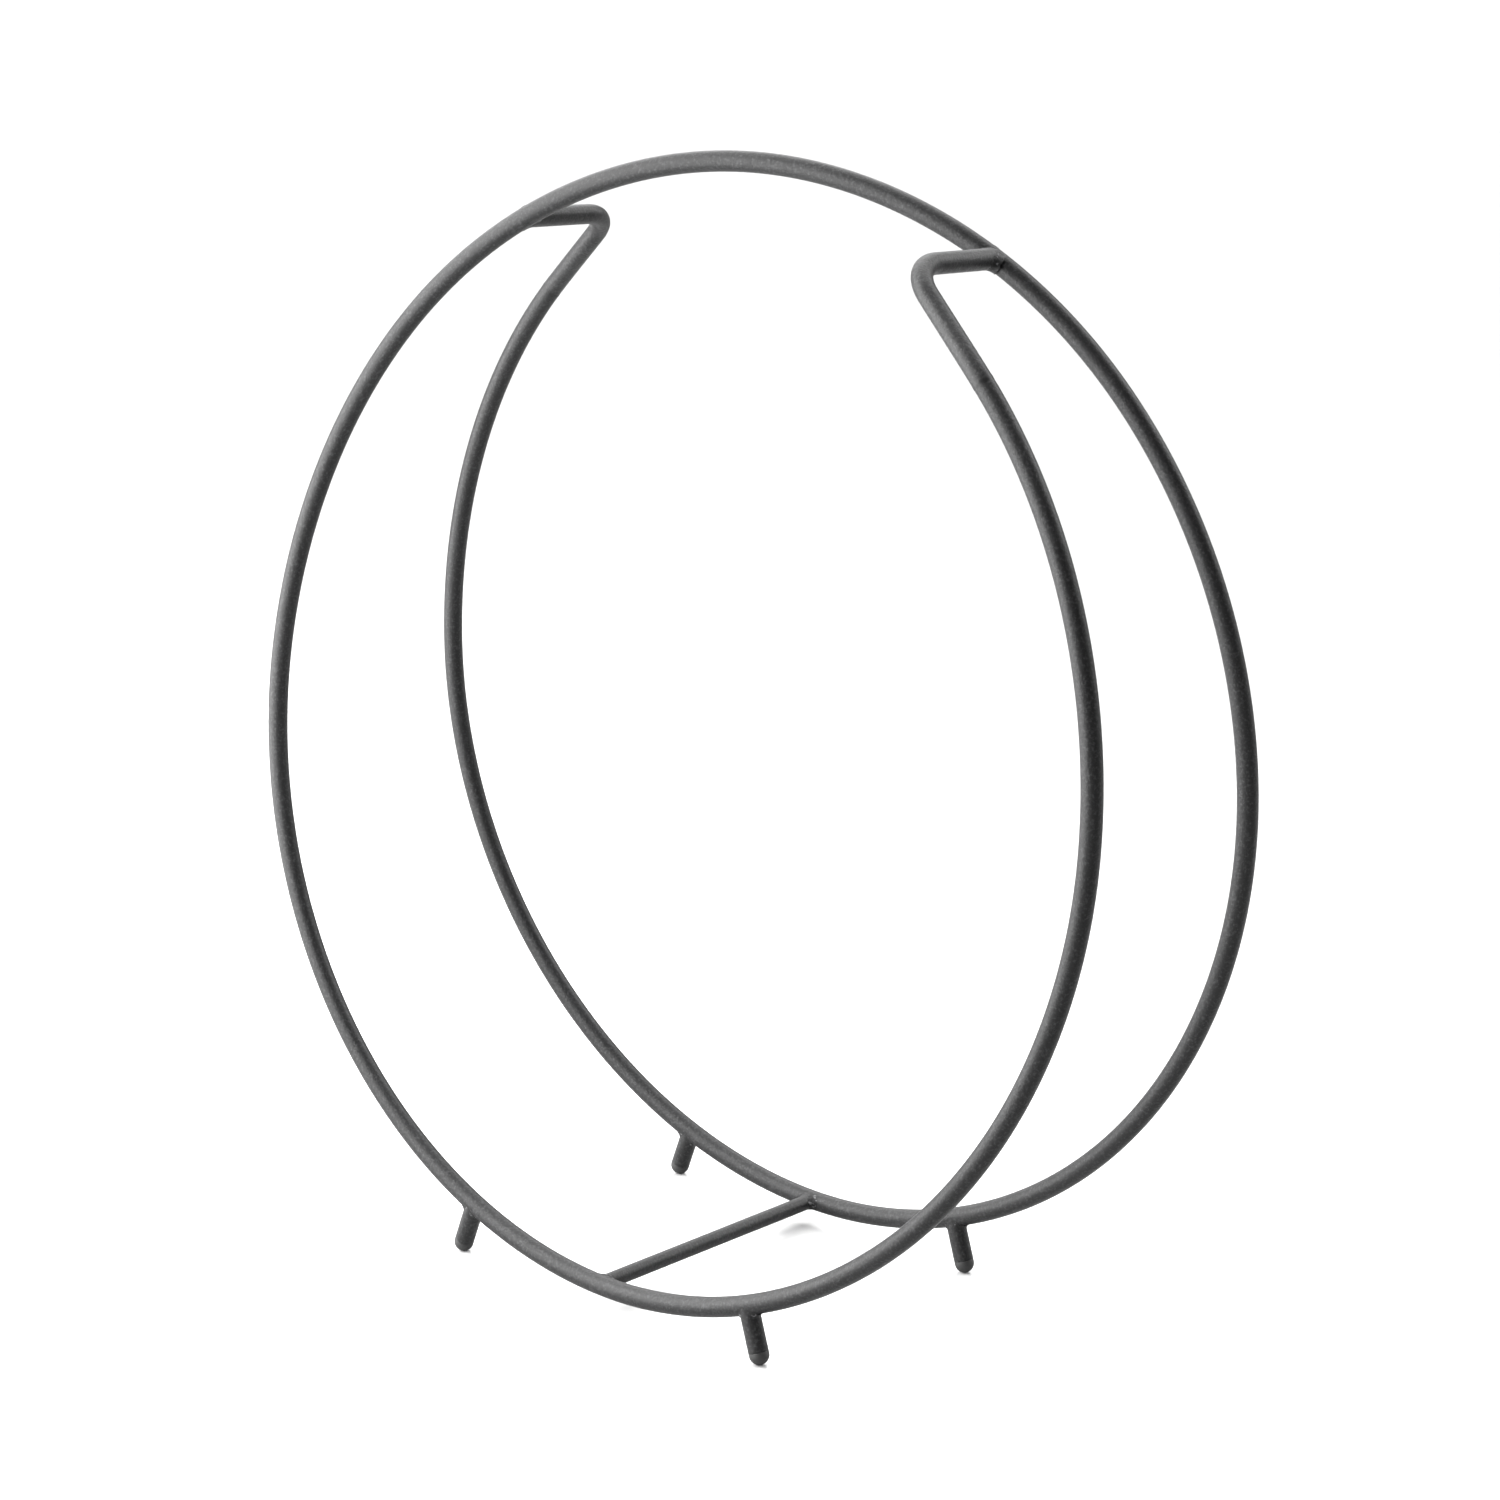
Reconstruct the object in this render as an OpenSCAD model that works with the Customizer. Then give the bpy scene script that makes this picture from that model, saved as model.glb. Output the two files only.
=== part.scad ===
// Firewood rack: one round rod bent into two hoops that cross at the top, on four short legs.
// Millimetres, +Z up. The hoops are as wide as X, the rack's depth is Y, and z = 0 is the floor
// under the four foot caps. The front pieces are the rear ones turned by 180 degrees about Z. Only
// the legs, each at its own angle, and the cross bar, set a little to the left, are hand-fitted.
// It builds with rod_d 8 to 14, hoop_r 240 to 310 and bar_d 6 to 10.

/* [Rod and bars] */
// Diameter of the hoop rod and of the legs
rod_d = 10.4; // [8:0.1:14]
// Diameter of the cross bar between the lowest points of the hoops
bar_d = 8.2; // [6:0.1:10]
// Where the cross bar is welded along X, left of the middle when negative
bar_shift = -3; // [-6:0.5:6]

/* [Hoop shape, seen from the front] */
// Mean radius of a hoop's centreline
hoop_r = 270; // [240:1:310]
// How much taller than round a hoop is: half the difference between its half height and half width
hoop_oval = 12.8; // [0:0.1:15]
// How much the hoop is drawn in at the shoulders and let out above the feet
hoop_pear = 1; // [0:0.1:4]

/* [Half depth of the rod path, by angle from the top] */
// Half depth at 45 degrees, where the rod leaves the crossing
depth_shoulder = 50.5; // [40:0.5:56]
// Half depth at 90 degrees, halfway down the first side
depth_side = 82; // [66:0.5:86]
// Half depth at 180 degrees, at the cross bar
depth_bottom = 83; // [78:0.5:92]
// Half depth at 270 degrees, halfway up the second side
depth_return = 44.5; // [40:0.5:62]
// Half depth at the butt weld, where the bent end starts
depth_seam = 42.5; // [38:0.5:52]
// Half depth of the bent end's knee, where it turns towards the other hoop
depth_knee = 31; // [26:0.5:36]

/* [Bent ends] */
// Angle from the top at which a bent end meets the other hoop's rod
hook_angle = 27; // [24:0.1:30]
// Bend radius of the rod's centreline
bend_r = 22.5; // [16:0.5:24]
// Arc from the knee back to the ground butt weld between the bent end and the hoop
seam_arc = 15; // [12:0.5:18]

/* [Legs and feet] */
// Angle of each leg from straight down, about the hoop's centre
front_left_angle = 19.3; // [15:0.1:25]
front_right_angle = 19.4; // [15:0.1:25]
rear_left_angle = 18.7; // [15:0.1:25]
rear_right_angle = 19.3; // [15:0.1:25]
// How far the domes' centres lie below the rod at its lowest point
foot_clear = 5.5; // [3:0.1:12]
// Straight rim of a foot cap above its dome
cap_rim = 1.5; // [1:0.1:3]
// Diameter of the cap's spigot inside the leg
spigot_d = 5; // [3:0.5:6]
// Length of the cap's spigot
spigot_len = 9; // [6:0.5:12]
// Depth of the flat worn on the dome where it stands on the floor
foot_flat = 0.2; // [0.1:0.05:0.5]

/* [Welds] */
// Leg length of the fillet round the top of a leg
leg_bead = 1.3; // [0.8:0.1:2]
// Leg length of the fillet round an end of the cross bar
bar_bead = 2.2; // [1:0.1:3]
// Leg length of the fillet where a bent end meets the other hoop's rod
hook_bead = 2.4; // [1:0.1:3.5]
// Height of the ground butt weld above the rod
seam_proud = 0.3; // [0.2:0.05:0.5]
// Width of the ground butt weld along the rod
seam_w = 1.6; // [1:0.1:3]

/* [Hidden] */
// Smoothness of the round pieces
$fn = 48;
// Sides of the swept rods, the angle between two sections of a hoop, and the sections of a bent end
rod_sides = 16;
hoop_step = 3.4;
bend_steps = 8;
lead_steps = 8;
// How far the lead keeps the hoop's direction before it heads for the knee
lead_stiffness = 0.6;
// Rod sizes worked out from the diameters
rod_r = rod_d / 2;
bar_r = bar_d / 2;
spigot_r = spigot_d / 2;
// Room between a piece that is cut to fit and the rod it sits against
fit_gap = 0.05;
// A cutting body runs this far past what it cuts
past = 1;
// Angle along the path of the butt weld
seam_angle = 360 - hook_angle - seam_arc;
// From the hoop's centre down to the domes' centres, which all lie at one height
foot_drop = hoop_r + hoop_oval - hoop_pear + foot_clear;
// Height of the hoop's centre over the floor: the domes stand on their flats
hoop_z = foot_drop + rod_r - foot_flat;
// Half depth of the rod's path, by angle from the top
stations = [
    [0, 0],
    [45, depth_shoulder],
    [90, depth_side],
    [180, depth_bottom],
    [270, depth_return],
    [seam_angle, depth_seam],
];
last_station = len(stations) - 1;

// Vector helpers
function unit(v) = v / norm(v);

// Width and rise of the stretch of the depth curve after station i
function span(i) = stations[i + 1][0] - stations[i][0];
function chord(i) = (stations[i + 1][1] - stations[i][1]) / span(i);

// Slope of the depth curve at station i. The curve passes smoothly through the crossing at 0.
function slope(i) =
    i == 0 ? chord(0) :
    i == last_station ? 2 * chord(i - 1) - slope(i - 1) :
    (chord(i - 1) * span(i) + chord(i) * span(i - 1)) / (span(i - 1) + span(i));

// Cubic through two stations with their slopes, u from 0 to 1 along the stretch after station i
function cubic(i, u) =
    stations[i][1] * (2 * u * u * u - 3 * u * u + 1) +
    stations[i + 1][1] * (3 * u * u - 2 * u * u * u) +
    span(i) * (slope(i) * (u * u * u - 2 * u * u + u) + slope(i + 1) * (u * u * u - u * u));

function stretch_of(t) =
    max([for (i = [0 : last_station - 1]) if (t >= stations[i][0]) i]);
function half_depth(t) =
    let (i = stretch_of(t))
    cubic(i, (t - stations[i][0]) / span(i));

// Centreline of the rear hoop, t degrees from the top, clockwise seen from the front
function hoop_radius(t) = hoop_r + hoop_oval * cos(2 * t) + hoop_pear * cos(3 * t);
function hoop_point(t) =
    [hoop_radius(t) * sin(t), half_depth(t), hoop_z + hoop_radius(t) * cos(t)];
function hoop_tangent(t) = unit(hoop_point(t + 0.5) - hoop_point(t - 0.5));
function hoop_outward(t) = [sin(t), 0, cos(t)];
// Both halves face this way where they meet at the crossing
crossing_dir = unit([hoop_radius(0) * PI / 180, slope(0), 0]);

// The rear bent end: a lead from the butt weld to its knee, a bend there, then an arm along -Y
seam_point = hoop_point(seam_angle);
knee = [
    -hoop_radius(hook_angle) * sin(hook_angle),
    depth_knee,
    hoop_z + hoop_radius(hook_angle) * cos(hook_angle)
];
end_dir = unit(knee - seam_point);
arm_dir = [0, -1, 0];
bend_turn = acos(end_dir * arm_dir);
bend_side = unit(arm_dir - (arm_dir * end_dir) * end_dir);
bend_from = knee - end_dir * bend_r * tan(bend_turn / 2);
function bend_point(a) =
    bend_from + bend_r * (end_dir * sin(a) + bend_side * (1 - cos(a)));
function bend_dir(a) = end_dir * cos(a) + bend_side * sin(a);
// The lead leaves the hoop along the hoop and enters the bend straight: a cubic, u from 0 to 1
seam_dir = hoop_tangent(seam_angle);
lead_out = lead_stiffness * norm(bend_from - seam_point) * seam_dir;
lead_in = norm(bend_from - seam_point) * end_dir;
function lead_point(u) =
    seam_point * (2 * u * u * u - 3 * u * u + 1) +
    bend_from * (3 * u * u - 2 * u * u * u) +
    lead_out * (u * u * u - 2 * u * u + u) +
    lead_in * (u * u * u - u * u);
function lead_dir(u) = unit(
    (bend_from - seam_point) * (6 * u - 6 * u * u) +
    lead_out * (3 * u * u - 4 * u + 1) +
    lead_in * (3 * u * u - 2 * u)
);
// The arm stops at the rod of the other hoop
arm_end = [knee[0], -half_depth(hook_angle), knee[2]];

// Sections of a swept round rod: each is a ring of points round a path point
function section(point, dir, out) =
    let (
        n = unit(out - (out * dir) * dir),
        b = cross(dir, n)
    )
    [for (j = [0 : rod_sides - 1])
        point + rod_r * (n * cos(360 * j / rod_sides) + b * sin(360 * j / rod_sides))];

// A rod through a list of sections, as triangles, with flat ends
module swept_rod(sections) {
    n = rod_sides;
    count = len(sections);
    sides = [
        for (i = [0 : count - 2], j = [0 : n - 1])
            each [
                [i * n + j, (i + 1) * n + j, (i + 1) * n + (j + 1) % n],
                [i * n + j, (i + 1) * n + (j + 1) % n, i * n + (j + 1) % n]
            ]
    ];
    start_cap = [for (j = [0 : n - 1]) j];
    end_cap = [for (j = [n - 1 : -1 : 0]) (count - 1) * n + j];
    polyhedron(
        points = [for (s = sections) each s],
        faces = concat(sides, [start_cap, end_cap]),
        convexity = 6
    );
}

// Half of the double hoop, from the top crossing to its butt weld
module hoop_rod() {
    steps = ceil(seam_angle / hoop_step);
    swept_rod([
        for (k = [0 : steps])
            let (t = k * seam_angle / steps)
            section(hoop_point(t), k == 0 ? crossing_dir : hoop_tangent(t), hoop_outward(t))
    ]);
}

// Bent end: the lead from the butt weld, the bend, then the arm cut to the rod it meets
module hook_end() {
    out = hoop_outward(seam_angle);
    lead = [
        for (k = [0 : lead_steps - 1])
            section(lead_point(k / lead_steps), lead_dir(k / lead_steps), out)
    ];
    turn = [
        for (k = [0 : bend_steps])
            let (a = bend_turn * k / bend_steps)
            section(bend_point(a), bend_dir(a), out)
    ];
    difference() {
        swept_rod(concat(lead, turn, [section(arm_end, arm_dir, out)]));
        turned() rod_space(hook_angle);
    }
}

// Turns its child so that the child's Z axis points along a unit vector
module aim(dir) {
    rotate([0, acos(dir[2]), atan2(dir[1], dir[0])]) children();
}

// The room taken by the hoop rod near t, for cutting pieces that sit against it
module rod_space(t) {
    translate(hoop_point(t)) aim(hoop_tangent(t))
        cylinder(r = rod_r + fit_gap, h = 6 * rod_r, center = true);
}

// Half turn about Z, from the rear pieces to the front ones
module turned() {
    rotate([0, 0, 180]) children();
}

// Places a leg's parts: the origin on the hoop's centreline, -Z away from the hoop's centre
module at_leg(t) {
    translate(hoop_point(t)) rotate([0, t - 180, 0]) children();
}

function dome_drop(t) = foot_drop / cos(180 - t) - hoop_radius(t);
function leg_drop(t) = dome_drop(t) - cap_rim;

module leg(t) {
    difference() {
        at_leg(t) translate([0, 0, -leg_drop(t)]) cylinder(r = rod_r, h = leg_drop(t));
        rod_space(t);
        at_leg(t) translate([0, 0, -leg_drop(t) - past])
            cylinder(r = spigot_r + fit_gap, h = spigot_len + 2 * past);
    }
}

// Foot cap: a dome on a short rim, with a spigot up the leg and a flat on the floor
module foot_cap(t) {
    dome = [for (a = [0 : 9 : 90]) [rod_r * sin(a), -rod_r * cos(a)]];
    rim_and_spigot = [
        [rod_r, cap_rim],
        [spigot_r, cap_rim],
        [spigot_r, cap_rim + spigot_len],
        [0, cap_rim + spigot_len]
    ];
    difference() {
        at_leg(t) translate([0, 0, -dome_drop(t)])
            rotate_extrude() polygon(concat(dome, rim_and_spigot));
        translate([hoop_point(t)[0], hoop_point(t)[1], -rod_r])
            cube([8 * rod_r, 8 * rod_r, 2 * rod_r], center = true);
    }
}

// A fillet round a bar: from its outer end at `far` to its wide end at `near`, along +Z
module fillet_ring(inner_r, near, far, bead) {
    difference() {
        translate([0, 0, near])
            cylinder(r1 = inner_r + bead, r2 = inner_r + 0.3, h = far - near);
        translate([0, 0, near - past])
            cylinder(r = inner_r + fit_gap, h = far - near + 2 * past);
    }
}

module leg_weld(t) {
    difference() {
        at_leg(t) mirror([0, 0, 1])
            fillet_ring(rod_r, 0.55 * rod_r, rod_r + 2 * leg_bead, leg_bead);
        rod_space(t);
    }
}

// The cross bar runs from hoop to hoop beside their lowest points, `shift` along X
module at_bar(shift) {
    translate([shift, 0, hoop_point(180)[2]]) rotate([-90, 0, 0]) children();
}

// Angle from the top at which a bar that far along X meets the rear rod
function bar_angle(shift) = 180 - atan(shift / hoop_radius(180));

module bar() {
    difference() {
        at_bar(bar_shift) cylinder(r = bar_r, h = 2 * depth_bottom, center = true);
        rod_space(bar_angle(bar_shift));
        turned() rod_space(bar_angle(-bar_shift));
    }
}

module bar_weld(shift) {
    difference() {
        at_bar(shift) translate([0, 0, depth_bottom]) mirror([0, 0, 1])
            fillet_ring(bar_r, 0.6 * rod_r, rod_r + 2 * bar_bead, bar_bead);
        rod_space(bar_angle(shift));
    }
}

// Fillet round the rear rod's arm where it meets the front rod
module hook_weld() {
    difference() {
        translate(arm_end) rotate([-90, 0, 0])
            fillet_ring(rod_r, 0.5 * rod_r, rod_r + 2.2 * hook_bead, hook_bead);
        turned() rod_space(hook_angle);
    }
}

// Ground butt weld between the hoop and its bent end
module seam_weld() {
    translate(seam_point) aim(seam_dir)
        difference() {
            cylinder(r = rod_r + seam_proud, h = seam_w, center = true);
            cylinder(r = rod_r + 2 * fit_gap, h = seam_w + past, center = true);
        }
}

steel = [0.2, 0.2, 0.21];
rubber = [0.08, 0.08, 0.08];
bead = [0.24, 0.24, 0.25];
// Where the legs stand along the rod, from the top: a front leg is a rear one's half turn
front_left = 180 - front_left_angle;
front_right = 180 + front_right_angle;
rear_left = 180 + rear_left_angle;
rear_right = 180 - rear_right_angle;

module front_loop_rod() { color(steel) turned() hoop_rod(); }
module rear_loop_rod() { color(steel) hoop_rod(); }
module front_hook_end() { color(steel) turned() hook_end(); }
module rear_hook_end() { color(steel) hook_end(); }
module cross_bar() { color(steel) bar(); }
module front_left_leg() { color(steel) turned() leg(front_left); }
module front_right_leg() { color(steel) turned() leg(front_right); }
module rear_left_leg() { color(steel) leg(rear_left); }
module rear_right_leg() { color(steel) leg(rear_right); }
module front_left_foot_cap() { color(rubber) turned() foot_cap(front_left); }
module front_right_foot_cap() { color(rubber) turned() foot_cap(front_right); }
module rear_left_foot_cap() { color(rubber) foot_cap(rear_left); }
module rear_right_foot_cap() { color(rubber) foot_cap(rear_right); }
module front_left_leg_weld() { color(bead) turned() leg_weld(front_left); }
module front_right_leg_weld() { color(bead) turned() leg_weld(front_right); }
module rear_left_leg_weld() { color(bead) leg_weld(rear_left); }
module rear_right_leg_weld() { color(bead) leg_weld(rear_right); }
module front_bar_weld() { color(bead) turned() bar_weld(-bar_shift); }
module rear_bar_weld() { color(bead) bar_weld(bar_shift); }
module front_hook_weld() { color(bead) turned() hook_weld(); }
module rear_hook_weld() { color(bead) hook_weld(); }
module front_seam_weld() { color(bead) turned() seam_weld(); }
module rear_seam_weld() { color(bead) seam_weld(); }

front_loop_rod();
rear_loop_rod();
front_hook_end();
rear_hook_end();
cross_bar();
front_left_leg();
front_right_leg();
rear_left_leg();
rear_right_leg();
front_left_foot_cap();
front_right_foot_cap();
rear_left_foot_cap();
rear_right_foot_cap();
front_left_leg_weld();
front_right_leg_weld();
rear_left_leg_weld();
rear_right_leg_weld();
front_bar_weld();
rear_bar_weld();
front_hook_weld();
rear_hook_weld();
front_seam_weld();
rear_seam_weld();
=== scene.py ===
"""Looks of a firewood rack: a powder-coated round rod bent into two crossing hoops on four short legs.

Every surface is worked out with numpy from the sizes in RackSizes, in metres, in the CAD frame:
+Z up, the hoops as wide as X, z = 0 on the floor. The front pieces are the rear ones turned by
180 degrees about Z, but for the legs' own angles and the cross bar, set a little to the left.
"""

import math

import bpy
import numpy as np
from bpy.props import FloatProperty, FloatVectorProperty, IntProperty, PointerProperty
from mathutils import Matrix, Vector


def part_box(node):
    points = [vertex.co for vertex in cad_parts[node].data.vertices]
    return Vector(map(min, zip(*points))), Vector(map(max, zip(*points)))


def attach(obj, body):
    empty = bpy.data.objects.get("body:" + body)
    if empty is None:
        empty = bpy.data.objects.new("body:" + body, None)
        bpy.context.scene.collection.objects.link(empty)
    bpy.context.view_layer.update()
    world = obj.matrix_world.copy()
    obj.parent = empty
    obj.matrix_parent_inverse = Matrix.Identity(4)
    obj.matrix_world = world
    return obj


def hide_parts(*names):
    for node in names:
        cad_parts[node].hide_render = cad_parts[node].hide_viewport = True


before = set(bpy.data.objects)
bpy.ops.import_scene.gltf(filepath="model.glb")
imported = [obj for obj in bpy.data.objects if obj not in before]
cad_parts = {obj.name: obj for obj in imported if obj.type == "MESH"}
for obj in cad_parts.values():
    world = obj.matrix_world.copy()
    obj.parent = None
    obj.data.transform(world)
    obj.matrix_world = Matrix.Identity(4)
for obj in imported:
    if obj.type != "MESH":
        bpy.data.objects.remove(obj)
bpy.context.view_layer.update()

bl_info = {
    "name": "Firewood Hoop Rack",
    "version": (1, 0, 0),
    "blender": (4, 5, 0),
    "location": "View3D > Sidebar > Rack",
    "description": "Builds a round-rod firewood rack with two crossing hoops",
    "category": "Add Mesh",
}

BODY = "root"
MM = 0.001

# Share of its length with which a bent end's lead keeps the hoop's direction
LEAD_STIFFNESS = 0.6
# Edges sharper than this are drawn sharp
SHARP_EDGE = math.radians(50)
# Specular level of the powder coat, on rods and welds alike
COAT_SPECULAR = 0.17
# Half width of the floor, and how far it lies under the feet
FLOOR_HALF = 100.0
FLOOR_SINK = 0.02 * MM
# Sensor width in millimetres, and how far the camera sees
SENSOR_WIDTH = 36.0
CLIP_END = 50.0


def cad_height(node):
    """Height in metres of a CAD node's box."""
    lo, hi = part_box(node)
    return hi[2] - lo[2]


# ---------------------------------------------------------------- sizes and colours


class RackSizes(bpy.types.PropertyGroup):
    """Driving sizes of the rack, as in the CAD part."""

    rod_d: FloatProperty(
        name="Rod diameter", description="Diameter of the hoop rod and of the legs",
        default=10.4 * MM, min=8 * MM, max=14 * MM, unit="LENGTH")
    bar_d: FloatProperty(
        name="Bar diameter", description="Diameter of the cross bar between the hoops",
        default=cad_height("cross_bar"), min=6 * MM, max=10 * MM, unit="LENGTH")
    bar_shift: FloatProperty(
        name="Bar shift", description="Where the cross bar is welded along X, left when negative",
        default=-3 * MM, unit="LENGTH")
    hoop_r: FloatProperty(
        name="Hoop radius", description="Mean radius of a hoop's centreline",
        default=270 * MM, min=240 * MM, max=310 * MM, unit="LENGTH")
    hoop_oval: FloatProperty(
        name="Oval", description="Half the difference between a hoop's half height and half width",
        default=12.8 * MM, min=0, max=15 * MM, unit="LENGTH")
    hoop_pear: FloatProperty(
        name="Pear", description="How much a hoop is drawn in at its shoulders",
        default=1 * MM, min=0, max=4 * MM, unit="LENGTH")
    depth_shoulder: FloatProperty(
        name="Depth at the shoulder", description="Half depth of the path 45 degrees from the top",
        default=50.5 * MM, unit="LENGTH")
    depth_side: FloatProperty(
        name="Depth at the first side", description="Half depth of the path 90 degrees from the top",
        default=82 * MM, unit="LENGTH")
    depth_bottom: FloatProperty(
        name="Depth at the bottom", description="Half depth of the path at the cross bar",
        default=83 * MM, unit="LENGTH")
    depth_return: FloatProperty(
        name="Depth at the second side", description="Half depth of the path after 270 degrees",
        default=44.5 * MM, unit="LENGTH")
    depth_seam: FloatProperty(
        name="Depth at the butt weld", description="Half depth where the bent end starts",
        default=42.5 * MM, unit="LENGTH")
    depth_knee: FloatProperty(
        name="Depth at the knee", description="Half depth where the bent end turns",
        default=31 * MM, unit="LENGTH")
    hook_angle: FloatProperty(
        name="Hook angle", description="Angle from the top where a bent end meets the other hoop",
        default=math.radians(27), subtype="ANGLE")
    seam_arc: FloatProperty(
        name="Seam arc", description="Arc from the knee back to the ground butt weld",
        default=math.radians(15), subtype="ANGLE")
    bend_r: FloatProperty(
        name="Bend radius", description="Radius of the rod's centreline in the bent end",
        default=22.5 * MM, unit="LENGTH")
    front_left_angle: FloatProperty(
        name="Front left leg", description="Angle from straight down, about the hoop's centre",
        default=math.radians(19.3), subtype="ANGLE")
    front_right_angle: FloatProperty(
        name="Front right leg", description="Angle from straight down, about the hoop's centre",
        default=math.radians(19.4), subtype="ANGLE")
    rear_left_angle: FloatProperty(
        name="Rear left leg", description="Angle from straight down, about the hoop's centre",
        default=math.radians(18.7), subtype="ANGLE")
    rear_right_angle: FloatProperty(
        name="Rear right leg", description="Angle from straight down, about the hoop's centre",
        default=math.radians(19.3), subtype="ANGLE")
    foot_clear: FloatProperty(
        name="Foot clearance", description="How far the domes' centres lie below the rod at its lowest",
        default=5.5 * MM, unit="LENGTH")
    cap_rim: FloatProperty(
        name="Cap rim", description="Straight rim of a foot cap above its dome",
        default=1.5 * MM, unit="LENGTH")
    foot_flat: FloatProperty(
        name="Foot flat", description="Depth of the flat under a foot cap",
        default=0.2 * MM, unit="LENGTH")
    weld_leg: FloatProperty(
        name="Leg weld", description="Leg length of the fillet round the top of a leg",
        default=2.0 * MM, unit="LENGTH")
    weld_bar: FloatProperty(
        name="Bar weld", description="Leg length of the fillet round an end of the cross bar",
        default=3.2 * MM, unit="LENGTH")
    weld_hook: FloatProperty(
        name="Hook weld", description="Leg length of the fillet where a bent end meets the other hoop",
        default=3.2 * MM, unit="LENGTH")
    seam_proud: FloatProperty(
        name="Butt weld height", description="Height of the ground butt weld above the rod",
        default=0.1 * MM, unit="LENGTH")
    rod_sides: IntProperty(
        name="Rod sides", description="Faces round a rod", default=40, min=12, max=64)


class RackFinish(bpy.types.PropertyGroup):
    """Colours and gloss of the rack."""

    coat_color: FloatVectorProperty(
        name="Powder coat", description="Colour of the powder coat",
        subtype="COLOR", size=3, min=0, max=1, default=(0.0075, 0.0075, 0.0077))
    coat_rough: FloatProperty(
        name="Coat roughness", description="Mean roughness of the powder coat",
        subtype="FACTOR", default=0.46, min=0, max=1)
    tip_color: FloatVectorProperty(
        name="Foot cap", description="Colour of the foot caps",
        subtype="COLOR", size=3, min=0, max=1, default=(0.012, 0.012, 0.012))
    tip_rough: FloatProperty(
        name="Cap roughness", description="Mean roughness of the foot caps",
        subtype="FACTOR", default=0.6, min=0, max=1)


class RackStage(bpy.types.PropertyGroup):
    """Floor, lights and camera."""

    floor_color: FloatVectorProperty(
        name="Floor", description="Colour of the floor",
        subtype="COLOR", size=3, min=0, max=1, default=(0.39, 0.39, 0.39))
    sky: FloatProperty(
        name="Surround", description="Brightness of the surround overhead; it is white at eye level",
        default=0.2, min=0)
    near_side: FloatProperty(
        name="Near side", description="Brightness of the surround behind the camera",
        default=0.12, min=0)
    back_power: FloatProperty(
        name="Back light", description="Irradiance of the soft light behind the rack",
        default=3.9, min=0)
    back_turn: FloatProperty(
        name="Back light turn", description="Direction of the back light, from -Y towards +X",
        default=math.radians(152), subtype="ANGLE")
    back_rise: FloatProperty(
        name="Back light rise", description="Height of the back light over the floor",
        default=math.radians(34), subtype="ANGLE")
    top_power: FloatProperty(
        name="Top light", description="Irradiance of the broad light overhead",
        default=8.1, min=0)
    top_turn: FloatProperty(
        name="Top light turn", description="Angle of the top light from the camera, leftwards",
        default=math.radians(155), subtype="ANGLE")
    top_rise: FloatProperty(
        name="Top light rise", description="Height of the top light over the floor",
        default=math.radians(55), subtype="ANGLE")
    top_spread: FloatProperty(
        name="Top light spread", description="Width of the top light",
        default=math.radians(85), subtype="ANGLE")
    panel_power: FloatProperty(
        name="Side panel", description="Power of the soft panel on the left",
        default=78.0, min=0, unit="POWER")
    panel_turn: FloatProperty(
        name="Side panel turn", description="Angle of the side panel from the camera, leftwards",
        default=math.radians(78), subtype="ANGLE")
    panel_away: FloatProperty(
        name="Side panel distance", description="Distance of the side panel from the rack",
        default=0.85, min=0.6, unit="LENGTH")
    panel_wide: FloatProperty(
        name="Side panel width", description="Width of the side panel, which is as high",
        default=1.3, min=0.1, unit="LENGTH")
    camera_az: FloatProperty(
        name="Camera azimuth", description="Direction the camera stands in, from -Y towards +X",
        default=math.radians(41.6387), subtype="ANGLE")
    camera_el: FloatProperty(
        name="Camera elevation", description="Downward tilt of the camera",
        default=math.radians(14.4378), subtype="ANGLE")
    camera_roll: FloatProperty(
        name="Camera roll", description="Turn of the camera about its own axis",
        default=math.radians(2.1583), subtype="ANGLE")
    camera_place: FloatVectorProperty(
        name="Camera place", description="Camera position from the hoops' centre, in hoop radii",
        size=3, default=(3.9436, -4.3852, 1.4754))
    camera_lens: FloatProperty(
        name="Lens", description="Focal length on a 36 mm sensor, in millimetres",
        default=77.43, min=20, max=300)


# ---------------------------------------------------------------- path of the rod


def unit(v):
    """Vectors divided by their lengths, along the last axis."""
    v = np.asarray(v, float)
    return v / np.linalg.norm(v, axis=-1, keepdims=True)


def half_turn(points):
    """Points turned by 180 degrees about Z."""
    return points * np.array([-1.0, -1.0, 1.0])


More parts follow.
